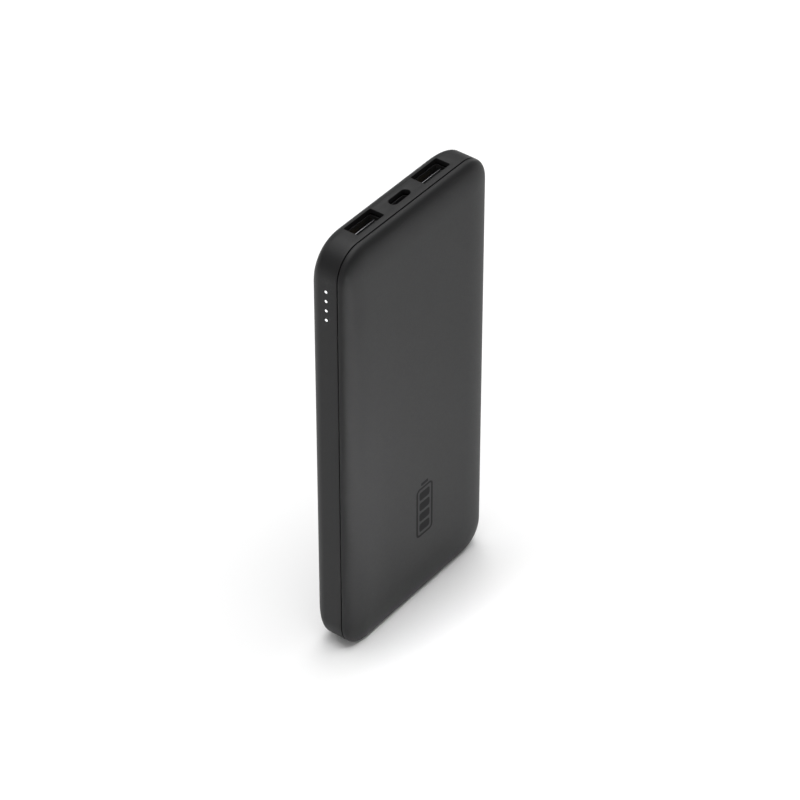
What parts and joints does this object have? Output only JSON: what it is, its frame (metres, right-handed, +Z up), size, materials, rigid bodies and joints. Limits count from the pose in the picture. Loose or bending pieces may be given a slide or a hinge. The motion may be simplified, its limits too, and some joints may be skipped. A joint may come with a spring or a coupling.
{
  "type": "power bank",
  "caption": "Slim portable battery pack with two wide and one small charging sockets on its end, side charge lights, a side button, and a pillow-shaped front cover.",
  "frame": {"origin": "middle of the lower short end, where the power bank stands", "axes": "+Z up the long axis towards the ports, -Y out of the pillow-shaped front cover, -X out of the side with the charge lights"},
  "size_m": [0.0706, 0.015, 0.155],
  "materials": {
    "casing": "fine matt texture",
    "button": "smooth satin",
    "light_guide": "frosted white, lets light through",
    "diode": "small white package with a yellow window",
    "circuit_board": "dark green solder mask",
    "port_steel": "nickel plated, dull",
    "port_plastic": "black moulding",
    "contact_gold": "gold plated springs",
    "switch_plunger": "natural moulding",
    "chip_package": "moulded package",
    "inductor_core": "pressed powder, matt grey",
    "capacitor_can": "bright can",
    "screw_steel": "zinc plated",
    "pouch_film": "satin silver laminate",
    "nickel_tab": "nickel strip",
    "lead_red": "soft silicone",
    "lead_black": "soft silicone",
    "tape": "double sided tape",
    "foam": "closed cell foam"
  },
  "bodies": {
    "root": {"back_shell": "casing", "front_cover": "casing", "led_light_guide": "light_guide", "led_1": "diode", "led_2": "diode", "led_3": "diode", "led_4": "diode", "main_board": "circuit_board", "protection_board": "circuit_board", "usb_a_left_shell": "port_steel", "usb_a_right_shell": "port_steel", "usb_c_shell": "port_steel", "usb_a_left_insulator": "port_plastic", "usb_a_right_insulator": "port_plastic", "usb_c_insulator": "port_plastic", "tact_switch_body": "port_plastic", "usb_a_left_contact_1": "contact_gold", "usb_a_left_contact_2": "contact_gold", "usb_a_left_contact_3": "contact_gold", "usb_a_left_contact_4": "contact_gold", "usb_a_right_contact_1": "contact_gold", "usb_a_right_contact_2": "contact_gold", "usb_a_right_contact_3": "contact_gold", "usb_a_right_contact_4": "contact_gold", "converter_chip": "chip_package", "port_controller_chip": "chip_package", "indicator_controller_chip": "chip_package", "power_inductor_1": "inductor_core", "power_inductor_2": "inductor_core", "capacitor_1": "capacitor_can", "capacitor_2": "capacitor_can", "capacitor_3": "capacitor_can", "board_screw_1": "screw_steel", "board_screw_2": "screw_steel", "board_screw_3": "screw_steel", "board_screw_4": "screw_steel", "battery_cell_rear": "pouch_film", "battery_cell_front": "pouch_film", "rear_cell_tab_positive": "nickel_tab", "rear_cell_tab_negative": "nickel_tab", "front_cell_tab_positive": "nickel_tab", "front_cell_tab_negative": "nickel_tab", "battery_lead_positive": "lead_red", "battery_lead_negative": "lead_black", "cell_thermistor": "lead_black", "cell_adhesive_pad": "tape", "cell_divider_tape": "tape", "cell_foam_pad": "foam"},
    "button": {"power_button": "button"},
    "switch_plunger": {"tact_switch_plunger": "switch_plunger"}
  },
  "joints": [
    {"name": "button_press", "type": "slide", "parent": "root", "child": "button", "axis": [-1, 0, 0], "range_m": [0, 0.0003], "stiffness_N_per_m": 6000},
    {"name": "plunger_press", "type": "slide", "parent": "root", "child": "switch_plunger", "axis": [-1, 0, 0], "range_m": [0, 0.0003]}
  ],
  "couplings": [
    {"joint": "plunger_press", "follows": "button_press", "ratio": 1}
  ]
}
